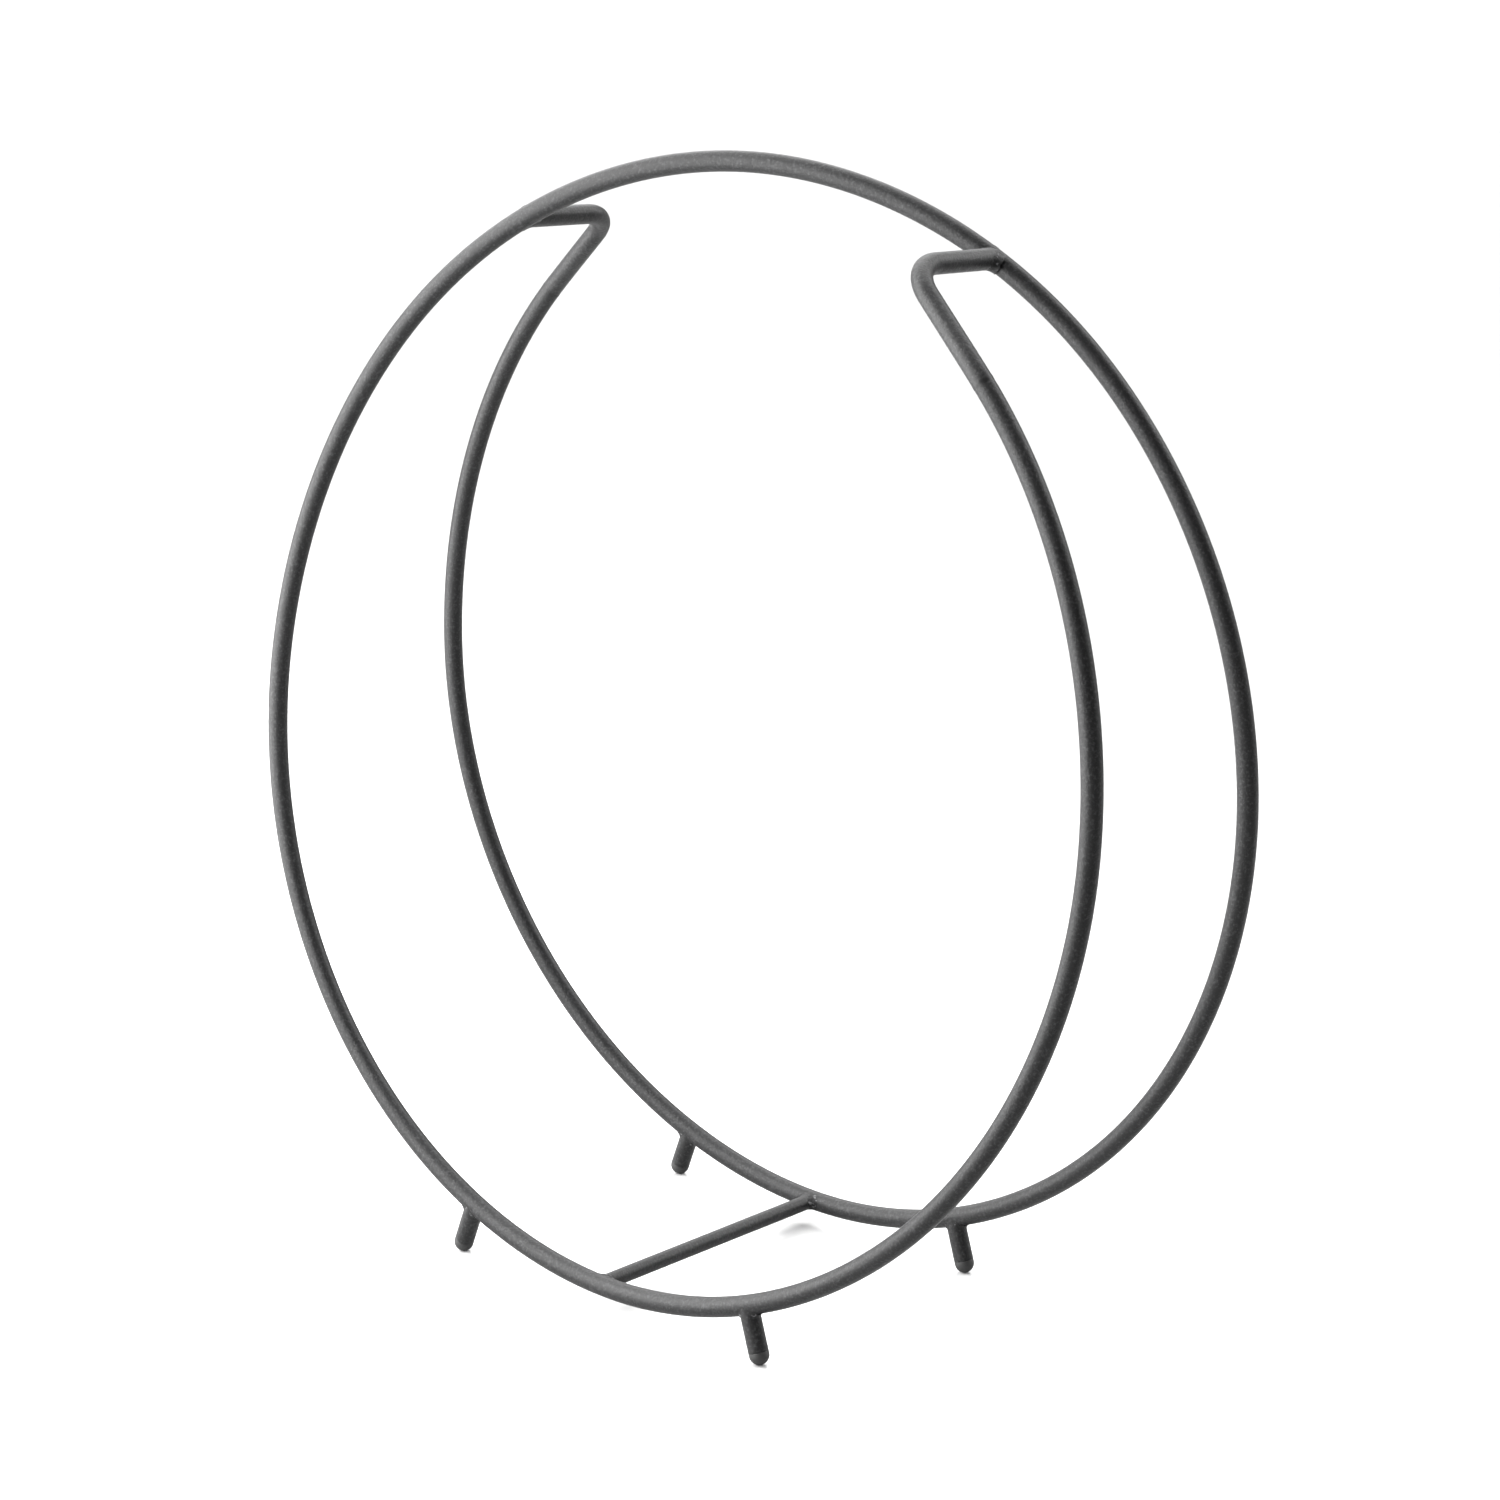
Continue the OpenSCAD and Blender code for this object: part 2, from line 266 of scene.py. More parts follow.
class RodPath:
    """Centreline of the rear rod, by the angle t from the top, in radians."""

    def __init__(self, s):
        self.s = s
        self.seam = 2 * math.pi - s.hook_angle - s.seam_arc
        self.foot_drop = s.hoop_r + s.hoop_oval - s.hoop_pear + s.foot_clear
        self.centre_z = self.foot_drop + s.rod_d / 2 - s.foot_flat
        self.knots = np.array([0, math.pi / 4, math.pi / 2, math.pi, 1.5 * math.pi, self.seam])
        self.depths = np.array([
            0, s.depth_shoulder, s.depth_side, s.depth_bottom, s.depth_return, s.depth_seam])
        span = np.diff(self.knots)
        chord = np.diff(self.depths) / span
        inner = (chord[:-1] * span[1:] + chord[1:] * span[:-1]) / (span[:-1] + span[1:])
        self.slopes = np.concatenate([chord[:1], inner, [2 * chord[-1] - inner[-1]]])

    def radius(self, t):
        """Mean radius, plus the oval as a double wave and the pear as a triple wave."""
        s = self.s
        return s.hoop_r + s.hoop_oval * np.cos(2 * t) + s.hoop_pear * np.cos(3 * t)

    def dome_drop(self, t):
        """How far a foot's dome centre lies from the rod, down the leg at t."""
        return -self.foot_drop / math.cos(t) - self.radius(t)

    def depth(self, t):
        """Half depth: a cubic through the knots with the slopes above, odd about the top."""
        a = np.abs(t)
        i = np.clip(np.searchsorted(self.knots, a, side="right") - 1, 0, len(self.knots) - 2)
        span = self.knots[i + 1] - self.knots[i]
        u = (a - self.knots[i]) / span
        value = (
            self.depths[i] * (2 * u**3 - 3 * u**2 + 1)
            + self.depths[i + 1] * (3 * u**2 - 2 * u**3)
            + span * self.slopes[i] * (u**3 - 2 * u**2 + u)
            + span * self.slopes[i + 1] * (u**3 - u**2))
        return np.sign(t) * value

    def point(self, t):
        """Point of the centreline: radius and angle in the XZ plane, depth along Y."""
        t = np.asarray(t, float)
        r = self.radius(t)
        return np.stack([r * np.sin(t), self.depth(t), self.centre_z + r * np.cos(t)], -1)

    def tangent(self, t):
        """Direction of travel, from two close points."""
        step = 0.005
        return unit(self.point(t + step) - self.point(t - step))

    def outward(self, t):
        """Direction away from the hoop's axis."""
        t = np.asarray(t, float)
        return np.stack([np.sin(t), 0 * t, np.cos(t)], -1)


def bent_end_path(path, lead_steps=40, bend_steps=40, arm_steps=24):
    """Points and directions of the rear bent end.

    A cubic lead leaves the hoop along the hoop and enters the bend straight. The bend is an arc
    of bend_r that turns the rod to -Y at the knee. The arm then runs straight to the front rod.
    """
    s = path.s
    seam = path.point(path.seam)
    r = path.radius(s.hook_angle)
    knee = np.array([
        -r * math.sin(s.hook_angle), s.depth_knee, path.centre_z + r * math.cos(s.hook_angle)])
    end_dir = unit(knee - seam)
    arm_dir = np.array([0.0, -1.0, 0.0])
    turn = math.acos(end_dir @ arm_dir)
    side = unit(arm_dir - (arm_dir @ end_dir) * end_dir)
    bend_from = knee - end_dir * s.bend_r * math.tan(turn / 2)
    length = np.linalg.norm(bend_from - seam)
    leave, enter = LEAD_STIFFNESS * length * path.tangent(path.seam), length * end_dir
    u = np.linspace(0, 1, lead_steps, endpoint=False)[:, None]
    lead = (
        seam * (2 * u**3 - 3 * u**2 + 1) + bend_from * (3 * u**2 - 2 * u**3)
        + leave * (u**3 - 2 * u**2 + u) + enter * (u**3 - u**2))
    lead_dir = unit(
        (bend_from - seam) * (6 * u - 6 * u**2)
        + leave * (3 * u**2 - 4 * u + 1) + enter * (3 * u**2 - 2 * u))
    a = np.linspace(0, turn, bend_steps)[:, None]
    bend = bend_from + s.bend_r * (end_dir * np.sin(a) + side * (1 - np.cos(a)))
    bend_dir = unit(end_dir * np.cos(a) + side * np.sin(a))
    stop = np.array([knee[0], path.depth(-s.hook_angle), knee[2]])
    v = np.linspace(0, 1, arm_steps + 1)[1:, None]
    arm = bend[-1] + (stop - bend[-1]) * v
    arm_dirs = np.repeat(arm_dir[None], len(arm), 0)
    return np.concatenate([lead, bend, arm]), np.concatenate([lead_dir, bend_dir, arm_dirs])


# ---------------------------------------------------------------- surfaces


def add_piece(name, points, faces, material, node):
    """Makes a mesh object that stands for one CAD node, smooth but for its sharp rims."""
    mesh = bpy.data.meshes.new(name)
    mesh.from_pydata(points.reshape(-1, 3).tolist(), [], faces)
    mesh.update()
    mesh.shade_smooth()
    mesh.set_sharp_from_angle(angle=SHARP_EDGE)
    mesh.materials.append(material)
    piece = bpy.data.objects.new(name, mesh)
    bpy.context.scene.collection.objects.link(piece)
    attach(piece, BODY)
    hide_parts(node)
    return piece


def grid_faces(rows, columns, close_rows=False):
    """Quads of a grid whose columns close round; the rows close too on a ring-shaped surface."""
    last = rows if close_rows else rows - 1
    i, j = np.meshgrid(np.arange(last), np.arange(columns), indexing="ij")
    up, right = (i + 1) % rows, (j + 1) % columns
    quads = np.stack([i * columns + j, i * columns + right, up * columns + right, up * columns + j], -1)
    return quads.reshape(-1, 4).tolist()


def tube_rings(points, dirs, outs, radii, sides):
    """Circle of the given radius round each point, square to its direction, starting at out."""
    normal = unit(outs - (outs * dirs).sum(-1, keepdims=True) * dirs)
    binormal = np.cross(dirs, normal)
    a = np.linspace(0, 2 * math.pi, sides, endpoint=False)[None, :, None]
    around = normal[:, None] * np.cos(a) + binormal[:, None] * np.sin(a)
    return points[:, None] + np.asarray(radii, float).reshape(-1, 1, 1) * around


def capped_tube(rings):
    """Points and faces of a tube through rings, closed by a flat face at each end."""
    rows, columns = rings.shape[:2]
    faces = grid_faces(rows, columns)
    faces.append(list(range(columns - 1, -1, -1)))
    faces.append(list(range((rows - 1) * columns, rows * columns)))
    return rings, faces


def lathe(profile, origin, axis, out, sides):
    """Profile of (radius, height) rows turned about an axis through origin, with flat ends."""
    points = origin + profile[:, 1:2] * axis
    dirs = np.repeat(axis[None], len(profile), 0)
    outs = np.repeat(out[None], len(profile), 0)
    return capped_tube(tube_rings(points, dirs, outs, profile[:, 0], sides))


def bead_wave(a, seed):
    """Uneven width of a hand-laid bead: one plus three waves round it with phases from a seed."""
    phase = np.random.default_rng(seed).uniform(0, 2 * math.pi, 4)
    return (
        1 + 0.13 * np.sin(2 * a + phase[0]) + 0.09 * np.sin(3 * a + phase[1])
        + 0.06 * np.sin(7 * a + phase[2]) + 0.035 * np.sin(13 * a + phase[3]))


def saddle_bead(origin, bar_dir, rod_dir, bar_r, rod_r, leg, seed, sides=96, steps=12, fill=0.42):
    """Fillet weld of a round bar that stands on a round rod.

    Round the bar by the angle a, the two surfaces meet where the rod's own angle b has
    rod_r sin b = bar_r sin a. From there the bead reaches one leg length out along the bar and one
    round the rod. Between the two toes runs a quadratic curve whose middle point lies between the
    corner and the chord, and a return line inside the metal closes the section into a ring. The
    toes are sunk a little into the metal, and root is how deep the return line lies in it.
    """
    a = np.linspace(0, 2 * math.pi, sides, endpoint=False)
    side_dir = np.cross(bar_dir, rod_dir)
    reach = leg * bead_wave(a, seed)
    b = np.arcsin(np.clip(bar_r / rod_r * np.sin(a), -1, 1))
    sunk, root = 0.06 * MM, 0.6

    def place(along_rod, across, along_bar):
        return (
            origin + along_rod[:, None] * rod_dir + across[:, None] * side_dir
            + along_bar[:, None] * bar_dir)

    corner = place(bar_r * np.cos(a), bar_r * np.sin(a), rod_r * np.cos(b))
    bar_toe = place(
        (bar_r - sunk) * np.cos(a), (bar_r - sunk) * np.sin(a), rod_r * np.cos(b) + reach)
    round_rod = b + reach / rod_r * np.sin(a)
    rod_toe = place(
        (bar_r + reach) * np.cos(a), (rod_r - sunk) * np.sin(round_rod),
        (rod_r - sunk) * np.cos(round_rod))
    middle = corner + fill * ((bar_toe + rod_toe) / 2 - corner)
    u = np.linspace(0, 1, steps)[:, None, None]
    outer = (1 - u) ** 2 * bar_toe + 2 * u * (1 - u) * middle + u**2 * rod_toe
    inward = place(root * bar_r * np.cos(a), root * bar_r * np.sin(a), root * rod_r * np.cos(b))
    v = np.linspace(0, 1, 4)[1:-1, None, None]
    inner = (1 - v) ** 2 * rod_toe + 2 * v * (1 - v) * inward + v**2 * bar_toe
    rings = np.concatenate([outer, inner])[::-1]
    return rings, grid_faces(len(rings), sides, close_rows=True)


# ---------------------------------------------------------------- shader expressions


class Value:
    """A number socket that takes part in Python arithmetic by adding Math nodes."""

    def __init__(self, shader, socket):
        self.shader, self.socket = shader, socket

    def maths(self, operation, *terms):
        """Math node of that operation on the terms, each a Value or a number."""
        return self.shader.add(
            "ShaderNodeMath", {"operation": operation}, dict(enumerate(terms))).value()

    def __add__(self, other):
        return self.maths("ADD", self, other)

    def __sub__(self, other):
        return self.maths("SUBTRACT", self, other)

    def __rsub__(self, other):
        return self.maths("SUBTRACT", other, self)

    def __mul__(self, other):
        return self.maths("MULTIPLY", self, other)

    __radd__ = __add__
    __rmul__ = __mul__

    def clamp(self, low, high):
        """The value mapped from low..high to 0..1 and held there."""
        return self.shader.add(
            "ShaderNodeMapRange", {"clamp": True},
            {"Value": self, "From Min": low, "From Max": high}).value("Result")


class Added:
    """A node just added, whose outputs are picked by name."""

    def __init__(self, shader, node):
        self.shader, self.node = shader, node

    def value(self, output=0):
        """One output as a Value."""
        return Value(self.shader, self.node.outputs[output])

    def out(self, output=0):
        """One output as a bare socket, for colours and vectors."""
        return self.node.outputs[output]


class Shader:
    """A node tree and the shader node in it that takes the results."""

    def __init__(self, tree, surface="Principled BSDF"):
        self.tree = tree
        self.surface = tree.nodes[surface]

    def add(self, kind, settings=None, inputs=None):
        """Adds a node: its settings first, then values or links for its sockets."""
        node = self.tree.nodes.new(kind)
        for key, value in (settings or {}).items():
            setattr(node, key, value)
        for key, value in (inputs or {}).items():
            self.join(node.inputs[key], value)
        return Added(self, node)

    def join(self, socket, value):
        """Sets a socket, or links it if the value is a Value or a socket."""
        if isinstance(value, Value):
            value = value.socket
        if isinstance(value, bpy.types.NodeSocket):
            self.tree.links.new(value, socket)
        else:
            socket.default_value = value

    def noise(self, scale, detail=2.0, roughness=0.5, offset=(0, 0, 0), stretch=(1, 1, 1)):
        """Noise over the object's own coordinates, in features per metre."""
        where = self.add("ShaderNodeTexCoord").out("Object")
        moved = self.add(
            "ShaderNodeMapping", {}, {"Vector": where, "Location": offset, "Scale": stretch}).out()
        return self.add(
            "ShaderNodeTexNoise", {},
            {"Vector": moved, "Scale": scale, "Detail": detail, "Roughness": roughness}).value()

    def mix(self, factor, first, second):
        """Colour mix of two colours or sockets."""
        node = self.add("ShaderNodeMix", {"data_type": "RGBA"}).node
        self.join(node.inputs["Factor"], factor)
        self.join(node.inputs[6], first)
        self.join(node.inputs[7], second)
        return node.outputs[2]

    def height(self):
        """Height over the floor, in metres."""
        where = self.add("ShaderNodeTexCoord").out("Object")
        return self.add("ShaderNodeSeparateXYZ", {}, {0: where}).value("Z")

    def bump(self, height, distance, strength=1.0):
        """Bump from a height of 0 to 1, that deep in metres, into Normal."""
        node = self.add(
            "ShaderNodeBump", {}, {"Height": height, "Distance": distance, "Strength": strength})
        self.join(self.surface.inputs["Normal"], node.out())

    def set(self, **sockets):
        """Constants and links on the surface, by socket name with _ for a blank."""
        for key, value in sockets.items():
            self.join(self.surface.inputs[key.replace("_", " ")], value)


def new_material(name):
    """A material of that name and the shader for its tree."""
    made = bpy.data.materials.new(name)
    made.use_nodes = True
    return made, Shader(made.node_tree)


def shade(color, factor):
    """A colour scaled in brightness, with alpha."""
    return (*[min(1.0, c * factor) for c in color], 1.0)


def powder_coat(finish):
    """Fine-texture powder coat: grains of cured powder over a slight orange peel, and faint patches."""
    made, m = new_material("Powder coat black")
    grain = m.noise(900, detail=3, roughness=0.7)
    peel = m.noise(420, detail=1, offset=(3, 1, 2))
    patch = m.noise(14, detail=3, offset=(7, 4, 1))
    speck = m.noise(700, detail=2, roughness=0.7, offset=(1, 9, 5)).clamp(0.5, 0.7)
    m.bump(0.65 * grain + 0.35 * peel, 0.5 * MM, 0.7)
    tone = m.mix(patch.clamp(0.35, 0.65), shade(finish.coat_color, 0.85), shade(finish.coat_color, 1.15))
    m.set(
        Base_Color=m.mix(0.7 * speck, tone, shade(finish.coat_color, 4.0)),
        Roughness=finish.coat_rough - 0.05 + 0.1 * patch + 0.25 * (grain - 0.5),
        Specular_IOR_Level=COAT_SPECULAR)
    return made


def weld_coat(finish):
    """The same coat over weld metal: lumpier, rougher, with painted shade in dark patches for the bead's
    hollows, and pale spatter.
    """
    made, m = new_material("Powder coat on welds")
    lump = m.noise(260, detail=3, roughness=0.6, offset=(2, 2, 8))
    grain = m.noise(1500, detail=3, roughness=0.65)
    spatter = m.noise(640, detail=1, offset=(5, 5, 1)).clamp(0.6, 0.7)
    # Painted shade: noise patches where the base colour is darkened to a quarter, standing for shade in
    # the bead's hollows
    painted_crevice_shade = m.noise(330, detail=2, offset=(8, 3, 3)).clamp(0.56, 0.66)
    m.bump(0.7 * lump + 0.3 * grain, 1.2 * MM, 0.8)
    coat_with_painted_shade = m.mix(painted_crevice_shade, shade(finish.coat_color, 1.0), shade(finish.coat_color, 0.25))
    m.set(
        Base_Color=m.mix(0.8 * spatter, coat_with_painted_shade, shade(finish.coat_color, 14.0)),
        Roughness=finish.coat_rough - 0.02 + 0.16 * lump,
        Specular_IOR_Level=COAT_SPECULAR)
    return made


def ground_coat(finish):
    """The coat over a ground butt weld: fine slanted file marks show through it."""
    made, m = new_material("Powder coat on ground seams")
    marks = m.noise(900, detail=2, offset=(4, 0, 6), stretch=(1.0, 0.25, 0.6))
    grain = m.noise(1500, detail=3, roughness=0.65)
    m.bump(0.8 * marks + 0.2 * grain, 0.35 * MM, 0.6)
    m.set(
        Base_Color=m.mix(
            marks.clamp(0.45, 0.62), shade(finish.coat_color, 0.8), shade(finish.coat_color, 1.6)),
        Roughness=finish.coat_rough + 0.05 * marks,
        Specular_IOR_Level=COAT_SPECULAR)
    return made


def rubber(finish):
    """Black rubber: a fine matte bloom, and a little pale dust where it meets the floor."""
    made, m = new_material("Foot cap rubber")
    bloom = m.noise(700, detail=3, offset=(6, 1, 1))
    grain = m.noise(2400, detail=2)
    low = 1 - m.height().clamp(0.0, 1.6 * MM)
    m.bump(0.5 * grain + 0.5 * bloom, 0.12 * MM, 0.5)
    dusty = m.mix(
        0.35 * low * bloom.clamp(0.4, 0.6), shade(finish.tip_color, 1.0), (0.09, 0.085, 0.08, 1.0))
    m.set(
        Base_Color=m.mix(0.5 * bloom, dusty, shade(finish.tip_color, 1.7)),
        Roughness=finish.tip_rough - 0.05 + 0.12 * bloom,
        Specular_IOR_Level=0.35)
    return made


def pale_floor(stage):
    """Plain pale floor: lacquer with a soft sheen and a fine even grain."""
    made, m = new_material("Pale floor")
    grain = m.noise(400, detail=1)
    m.set(Base_Color=shade(stage.floor_color, 1.0), Roughness=0.17 + 0.04 * grain, Specular_IOR_Level=0.3)
    return made


MAKERS = {"coat": powder_coat, "weld": weld_coat, "ground": ground_coat, "rubber": rubber}
MADE = {}


def material(kind, context):
    """The material of that kind, made once."""
    if kind not in MADE:
        MADE[kind] = MAKERS[kind](context.scene.rack_finish)
    return MADE[kind]


# ---------------------------------------------------------------- pieces

# What takes the rear piece to each hand of the rack
HANDS = {"rear": np.asarray, "front": half_turn}


def add_hand(context, hand, stem, kind, rings, faces, suffix):
    """Adds one piece, shaped as a rear one and turned by 180 degrees for the front."""
    node = f"{hand}_{stem}"
    add_piece(
        f"{node}_{suffix}", HANDS[hand](rings), faces, material(kind, context), node)


def add_both(context, stem, kind, rings, faces, suffix):
    """Adds the rear piece and the front one."""
    for hand in HANDS:
        add_hand(context, hand, stem, kind, rings, faces, suffix)


class RackOperator:
    """What the operators share: each adds its pieces and can be undone."""

    bl_options = {"REGISTER", "UNDO"}

    def execute(self, context):
        """Builds the pieces; a mistake stops the script as an error."""
        self.build(context, context.scene.rack_sizes)
        return {"FINISHED"}


class RACK_OT_hoops(RackOperator, bpy.types.Operator):
    """Add the two halves of the double hoop, from the crossing at the top to their butt welds"""

    bl_idname = "rack.hoops"
    bl_label = "Hoops"

    def build(self, context, s):
        """A round tube along the hoop path, one ring every degree."""
        path = RodPath(s)
        t = np.linspace(0, path.seam, 330)
        dirs = path.tangent(t)
        dirs[0] = unit([path.radius(0.0), path.slopes[0], 0])
        rings = tube_rings(path.point(t), dirs, path.outward(t), np.full(len(t), s.rod_d / 2), s.rod_sides)
        add_both(context, "loop_rod", "coat", *capped_tube(rings), "coated")


class RACK_OT_bent_ends(RackOperator, bpy.types.Operator):
    """Add the two bent ends, each from its butt weld to the other hoop"""

    bl_idname = "rack.bent_ends"
    bl_label = "Bent ends"

    def build(self, context, s):
        """A round tube along the bent end's path, one ring at each point of it."""
        path = RodPath(s)
        points, dirs = bent_end_path(path)
        outs = np.repeat(path.outward(path.seam)[None], len(points), 0)
        rings = tube_rings(points, dirs, outs, np.full(len(points), s.rod_d / 2), s.rod_sides)
        add_both(context, "hook_end", "coat", *capped_tube(rings), "coated")


class RACK_OT_cross_bar(RackOperator, bpy.types.Operator):
    """Add the cross bar between the lowest points of the hoops"""

    bl_idname = "rack.cross_bar"
    bl_label = "Cross bar"

    def build(self, context, s):
        """A straight round tube from one hoop's centreline to the other's."""
        low = RodPath(s).point(math.pi)
        y = np.linspace(-1, 1, 60) * low[1]
        points = np.stack([0 * y + s.bar_shift, y, 0 * y + low[2]], -1)
        dirs = np.repeat([[0.0, 1.0, 0.0]], len(y), 0)
        outs = np.repeat([[0.0, 0.0, 1.0]], len(y), 0)
        rings = tube_rings(points, dirs, outs, np.full(len(y), s.bar_d / 2), s.rod_sides)
        rings, faces = capped_tube(rings)
        add_piece("cross_bar_coated", rings, faces, material("coat", context), "cross_bar")


def add_at_legs(context, s, stem, kind, suffix, shape):
    """Adds a piece at all four legs, each shaped at its angle t on the rear rod and then turned."""
    path = RodPath(s)
    legs = (
        ("rear", "left", math.pi + s.rear_left_angle),
        ("rear", "right", math.pi - s.rear_right_angle),
        ("front", "left", math.pi - s.front_left_angle),
        ("front", "right", math.pi + s.front_right_angle))
    for seed, (hand, side, t) in enumerate(legs, start=11):
        rings, faces = shape(path, t, seed)
        add_hand(context, hand, f"{side}_{stem}", kind, rings, faces, suffix)


class RACK_OT_legs(RackOperator, bpy.types.Operator):
    """Add the four short legs"""

    bl_idname = "rack.legs"
    bl_label = "Legs"

    def build(self, context, s):
        """A straight rod away from the hoop's centre, with an eased lower rim."""
        ease = 0.25 * MM

        def shape(path, t, seed):
            end = path.dome_drop(t) - s.cap_rim
            r = s.rod_d / 2
            a = np.linspace(0, math.pi / 2, 5)
            rim = np.stack([r - ease + ease * np.cos(a), end - ease + ease * np.sin(a)], -1)
            shaft = np.stack([np.full(20, r), np.linspace(0, end - ease, 20, endpoint=False)], -1)
            return lathe(
                np.concatenate([shaft, rim]), path.point(t), path.outward(t), path.tangent(t),
                s.rod_sides)

        add_at_legs(context, s, "leg", "coat", "coated", shape)


class RACK_OT_foot_caps(RackOperator, bpy.types.Operator):
    """Add the four rounded foot caps"""

    bl_idname = "rack.foot_caps"
    bl_label = "Foot caps"

    def build(self, context, s):
        """A half sphere on a short rim with an eased edge, pressed flat where it meets the floor."""
        ease = 0.3 * MM

        def shape(path, t, seed):
            centre = path.dome_drop(t)
            r = s.rod_d / 2
            a = np.linspace(math.pi / 2, 0, 6)
            rim = np.stack([
                r - ease + ease * np.cos(a), centre - s.cap_rim + ease - ease * np.sin(a)], -1)
            b = np.linspace(0, math.pi / 2, 28, endpoint=False)
            dome = np.stack([r * np.cos(b), centre + r * np.sin(b)], -1)
            tip = np.array([[0.02 * r, centre + r]])
            rings, faces = lathe(
                np.concatenate([rim, dome, tip]), path.point(t), path.outward(t), path.tangent(t),
                s.rod_sides)
            return np.maximum(rings, [-np.inf, -np.inf, 0.0]), faces

        add_at_legs(context, s, "foot_cap", "rubber", "rubber", shape)


class RACK_OT_leg_welds(RackOperator, bpy.types.Operator):
    """Add the fillet welds round the tops of the legs"""

    bl_idname = "rack.leg_welds"
    bl_label = "Leg welds"

    def build(self, context, s):
        """A saddle bead on the hoop rod round each leg."""

        def shape(path, t, seed):
            down, tangent = path.outward(t), path.tangent(t)
            rod_dir = unit(tangent - (tangent @ down) * down)
            return saddle_bead(
                path.point(t), down, rod_dir, s.rod_d / 2, s.rod_d / 2, s.weld_leg, seed)

        add_at_legs(context, s, "leg_weld", "weld", "bead", shape)


class RACK_OT_bar_welds(RackOperator, bpy.types.Operator):
    """Add the fillet welds at the ends of the cross bar"""

    bl_idname = "rack.bar_welds"
    bl_label = "Cross bar welds"

    def build(self, context, s):
        """A saddle bead on the hoop rod round each end of the bar."""
        path = RodPath(s)
        for hand, shift, seed in (("rear", s.bar_shift, 21), ("front", -s.bar_shift, 22)):
            t = math.pi - math.atan(shift / path.radius(math.pi))
            rings, faces = saddle_bead(
                path.point(t), np.array([0.0, -1.0, 0.0]), np.array([-1.0, 0.0, 0.0]),
                s.bar_d / 2, s.rod_d / 2, s.weld_bar, seed)
            add_hand(context, hand, "bar_weld", "weld", rings, faces, "bead")


class RACK_OT_hook_welds(RackOperator, bpy.types.Operator):
    """Add the fillet welds where the bent ends meet the other hoop"""

    bl_idname = "rack.hook_welds"
    bl_label = "Bent end welds"

    def build(self, context, s):
        """A saddle bead on the front rod round the rear rod's arm."""
        path = RodPath(s)
        on_front = path.point(-s.hook_angle)
        along = path.tangent(-s.hook_angle)
        arm_back = np.array([0.0, 1.0, 0.0])
        rod_dir = unit(along - (along @ arm_back) * arm_back)
        rings, faces = saddle_bead(
            on_front, arm_back, rod_dir, s.rod_d / 2, s.rod_d / 2, s.weld_hook, seed=31)
        add_both(context, "hook_weld", "weld", rings, faces, "bead")


class RACK_OT_seam_welds(RackOperator, bpy.types.Operator):
    """Add the ground butt welds between the hoops and their bent ends"""

    bl_idname = "rack.seam_welds"
    bl_label = "Butt welds"

    def build(self, context, s):
        """A low ring round the rod: its height is a full wave along the rod, uneven round it."""
        path = RodPath(s)
        middle, along = path.point(path.seam), path.tangent(path.seam)
        half = 2.0 * MM
        u = np.linspace(-1, 1, 25)
        r = s.rod_d / 2
        a = np.linspace(0, 2 * math.pi, s.rod_sides, endpoint=False)
        slant = 0.5 * MM * np.cos(a - 0.6)
        proud = s.seam_proud * bead_wave(a, 41)
        sunk = 0.01 * MM
        out = path.outward(path.seam)
        normal = unit(out - (out @ along) * along)
        around = normal[None] * np.cos(a)[:, None] + np.cross(along, normal)[None] * np.sin(a)[:, None]
        height = r - sunk + (proud[None] + sunk) * (1 + np.cos(u * math.pi))[:, None] / 2
        shift = half * u[:, None] + slant[None]
        outer = middle + shift[:, :, None] * along + height[:, :, None] * around[None]
        inner = middle + half * np.array([0.6, -0.6])[:, None, None] * along + 0.9 * r * around[None]
        rings = np.concatenate([outer, inner])
        add_both(
            context, "seam_weld", "ground", rings, grid_faces(len(rings), s.rod_sides, True), "bead")


class RACK_OT_stage(RackOperator, bpy.types.Operator):
    """Add the floor, the soft lights and the camera"""

    bl_idname = "rack.stage"
    bl_label = "Stage"

    def build(self, context, s):
        """A wide floor, a soft panel on the left, two broad suns, a surround and the camera."""
        stage = context.scene.rack_stage
        centre = Vector((0, 0, RodPath(s).centre_z))
        add_floor(stage)
        add_surround(context, stage)
        add_suns(stage)
        add_side_panel(stage)
        camera = bpy.data.cameras.new("Camera")
        camera.lens = stage.camera_lens
        camera.sensor_width = SENSOR_WIDTH
        camera.clip_end = CLIP_END
        holder = bpy.data.objects.new("Camera", camera)
        place = centre + s.hoop_r * Vector(stage.camera_place)
        holder.matrix_world = Matrix.Translation(place) @ camera_turn(stage).to_4x4()
        context.scene.collection.objects.link(holder)
        context.scene.camera = holder
        context.scene.view_settings.view_transform = "Standard"


def camera_turn(stage):
    """Camera axes as columns, right, up and back: azimuth and elevation first, then the roll."""
    az, el, roll = stage.camera_az, stage.camera_el, stage.camera_roll
    right = Vector((math.cos(az), math.sin(az), 0))
    back = Vector((math.sin(az) * math.cos(el), -math.cos(az) * math.cos(el), math.sin(el)))
    up = back.cross(right)
    rolled_right = right * math.cos(roll) + up * math.sin(roll)
    rolled_up = up * math.cos(roll) - right * math.sin(roll)
    return Matrix((rolled_right, rolled_up, back)).transposed()


def add_floor(stage):
    """A square floor just under the feet, so wide that its edge lies on the horizon."""
    half, z = FLOOR_HALF, -FLOOR_SINK
    mesh = bpy.data.meshes.new("Floor")
    corners = [(-half, -half, z), (half, -half, z), (half, half, z), (-half, half, z)]
    mesh.from_pydata(corners, [], [(0, 1, 2, 3)])
    mesh.materials.append(pale_floor(stage))
    floor = bpy.data.objects.new("Floor", mesh)
    bpy.context.scene.collection.objects.link(floor)


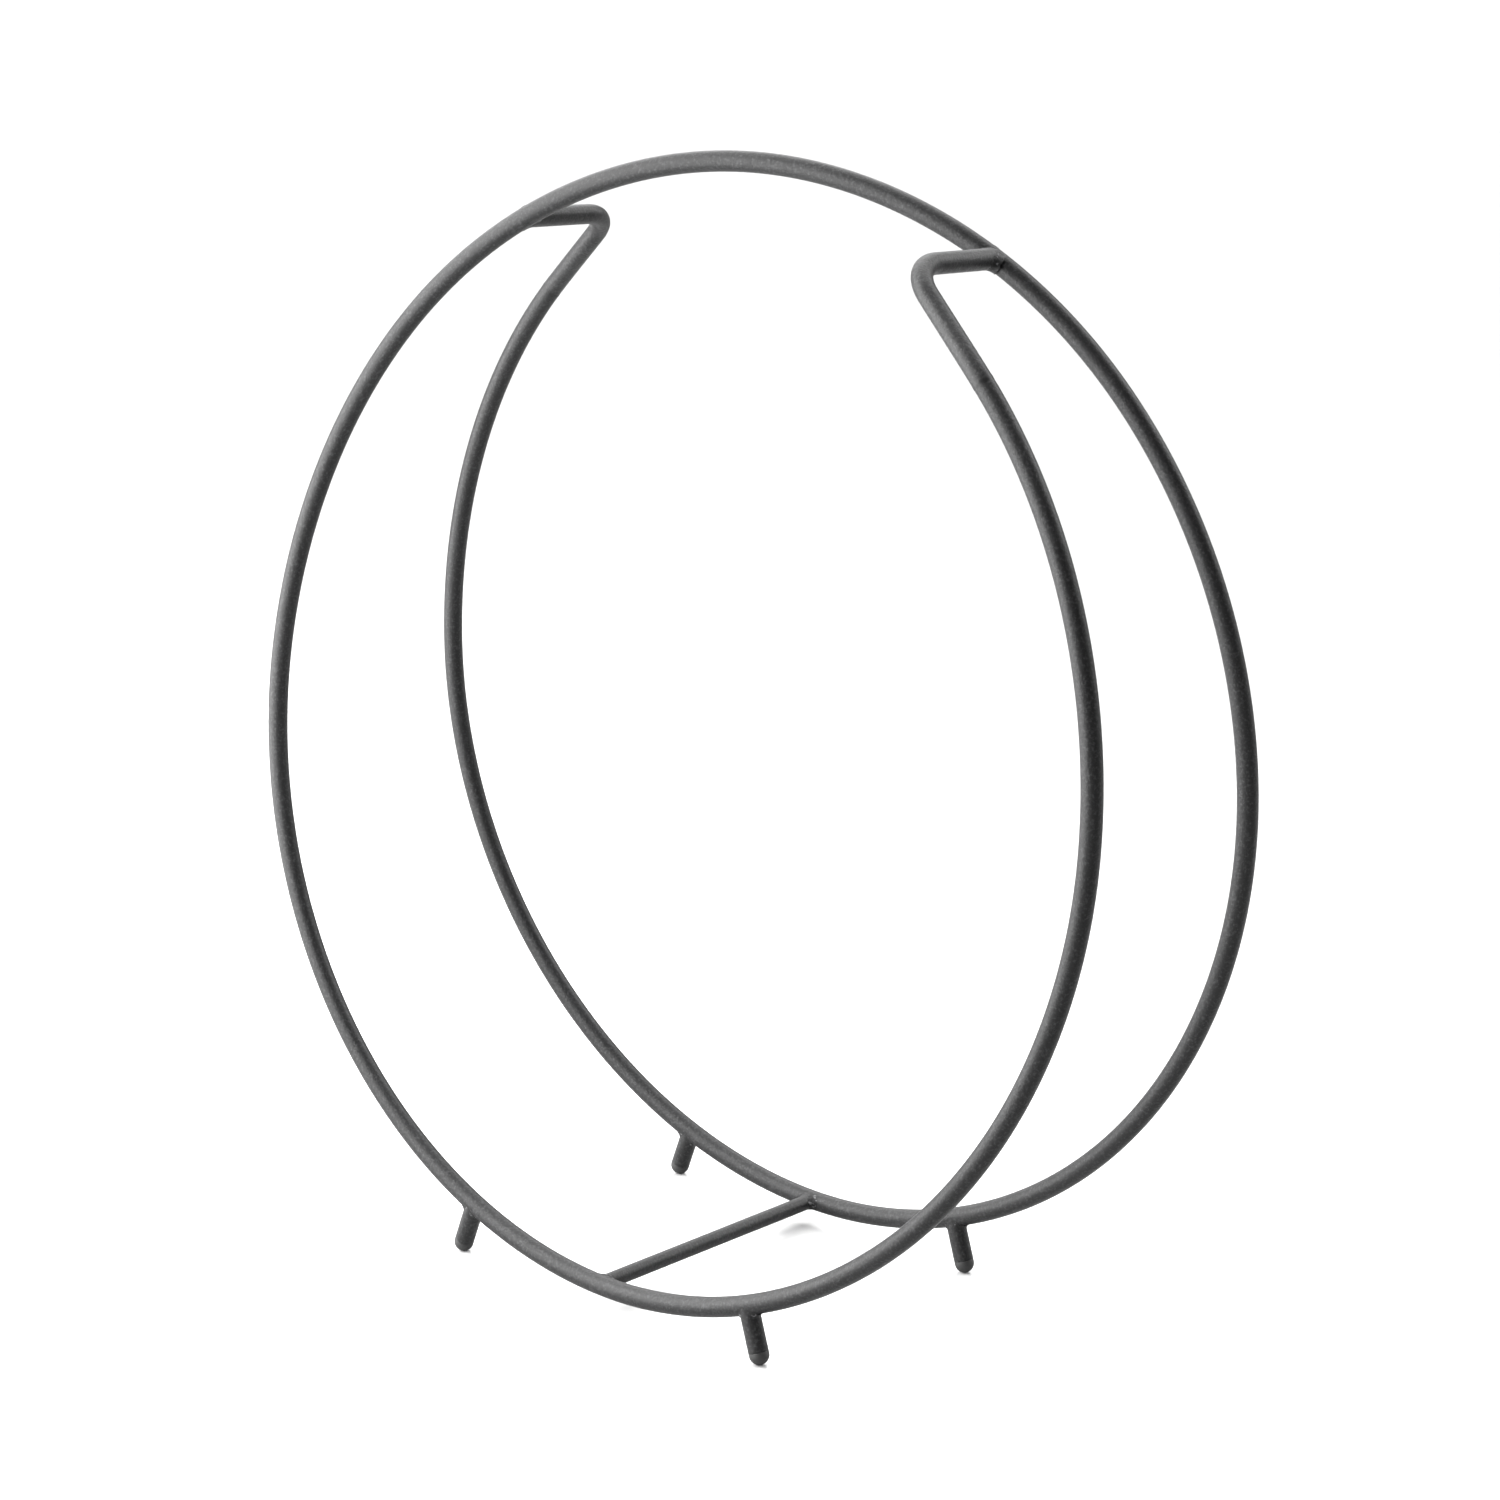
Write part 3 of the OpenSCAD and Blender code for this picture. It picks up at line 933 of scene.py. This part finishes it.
def add_surround(context, stage):
    """A surround that is white at eye level beyond the rack, and dims overhead and near the camera."""
    world = bpy.data.worlds.new("Studio")
    world.use_nodes = True
    m = Shader(world.node_tree, "Background")
    rise = m.add("ShaderNodeTexCoord").out("Generated")
    high = m.add("ShaderNodeSeparateXYZ", {}, {0: rise}).value("Z").clamp(0.05, 0.35)
    toward = m.add(
        "ShaderNodeVectorMath", {"operation": "DOT_PRODUCT"},
        {0: rise, 1: level_direction(stage.camera_az)}).value("Value")
    near = toward.clamp(-0.4, 0.5)
    strength = (1 - (1 - stage.sky) * high) * (1 - (1 - stage.near_side) * near)
    m.set(Color=(1, 1, 1, 1), Strength=strength)
    context.scene.world = world


def level_direction(azimuth, rise=0.0):
    """Direction from the rack at an azimuth, from -Y towards +X, and a height over the floor."""
    level = math.cos(rise)
    return Vector((level * math.sin(azimuth), -level * math.cos(azimuth), math.sin(rise)))


def add_light(name, kind, direction, place=(0, 0, 0)):
    """A light at place that shines against the direction."""
    light = bpy.data.lights.new(name, kind)
    holder = bpy.data.objects.new(name, light)
    holder.location = place
    holder.rotation_euler = direction.to_track_quat("Z", "Y").to_euler()
    bpy.context.scene.collection.objects.link(holder)
    return light


def add_suns(stage):
    """Two broad suns, one overhead and one behind the rack, which light the whole floor alike."""
    direction = level_direction(stage.camera_az - stage.top_turn, stage.top_rise)
    light = add_light("Top", "SUN", direction)
    light.angle, light.energy = stage.top_spread, stage.top_power
    light = add_light("Back", "SUN", level_direction(stage.back_turn, stage.back_rise))
    light.angle, light.energy = stage.top_spread / 2, stage.back_power


def add_side_panel(stage):
    """A square soft panel that stands on the floor and faces the rack."""
    direction = level_direction(stage.camera_az - stage.panel_turn)
    place = stage.panel_away * direction + Vector((0, 0, stage.panel_wide / 2))
    light = add_light("Panel", "AREA", direction, place)
    light.shape, light.size, light.energy = "SQUARE", stage.panel_wide, stage.panel_power


class RACK_PT_panel(bpy.types.Panel):
    """Sidebar panel with the rack's sizes, colours and builders"""

    bl_idname = "RACK_PT_panel"
    bl_label = "Firewood rack"
    bl_space_type = "VIEW_3D"
    bl_region_type = "UI"
    bl_category = "Rack"

    def draw(self, context):
        """Every property of the three groups, then a button for each operator."""
        for name in ("rack_sizes", "rack_finish", "rack_stage"):
            group = getattr(context.scene, name)
            column = self.layout.column(align=True)
            for key in group.__annotations__:
                column.prop(group, key)
        for operator in OPERATORS:
            self.layout.operator(operator.bl_idname)


GROUPS = {"rack_sizes": RackSizes, "rack_finish": RackFinish, "rack_stage": RackStage}
OPERATORS = (
    RACK_OT_hoops, RACK_OT_bent_ends, RACK_OT_cross_bar, RACK_OT_legs, RACK_OT_foot_caps,
    RACK_OT_leg_welds, RACK_OT_bar_welds, RACK_OT_hook_welds, RACK_OT_seam_welds, RACK_OT_stage,
)


def register():
    """Registers the classes and hangs the property groups on the scene."""
    for cls in (*GROUPS.values(), *OPERATORS, RACK_PT_panel):
        bpy.utils.register_class(cls)
    for name, group in GROUPS.items():
        setattr(bpy.types.Scene, name, PointerProperty(type=group))


def unregister():
    """Takes everything back that register() added."""
    for name in GROUPS:
        delattr(bpy.types.Scene, name)
    for cls in (RACK_PT_panel, *reversed(OPERATORS), *reversed(list(GROUPS.values()))):
        bpy.utils.unregister_class(cls)


def main():
    register()
    for operator in OPERATORS:
        group, name = operator.bl_idname.split(".")
        getattr(getattr(bpy.ops, group), name)()


if __name__ == "__main__":
    main()
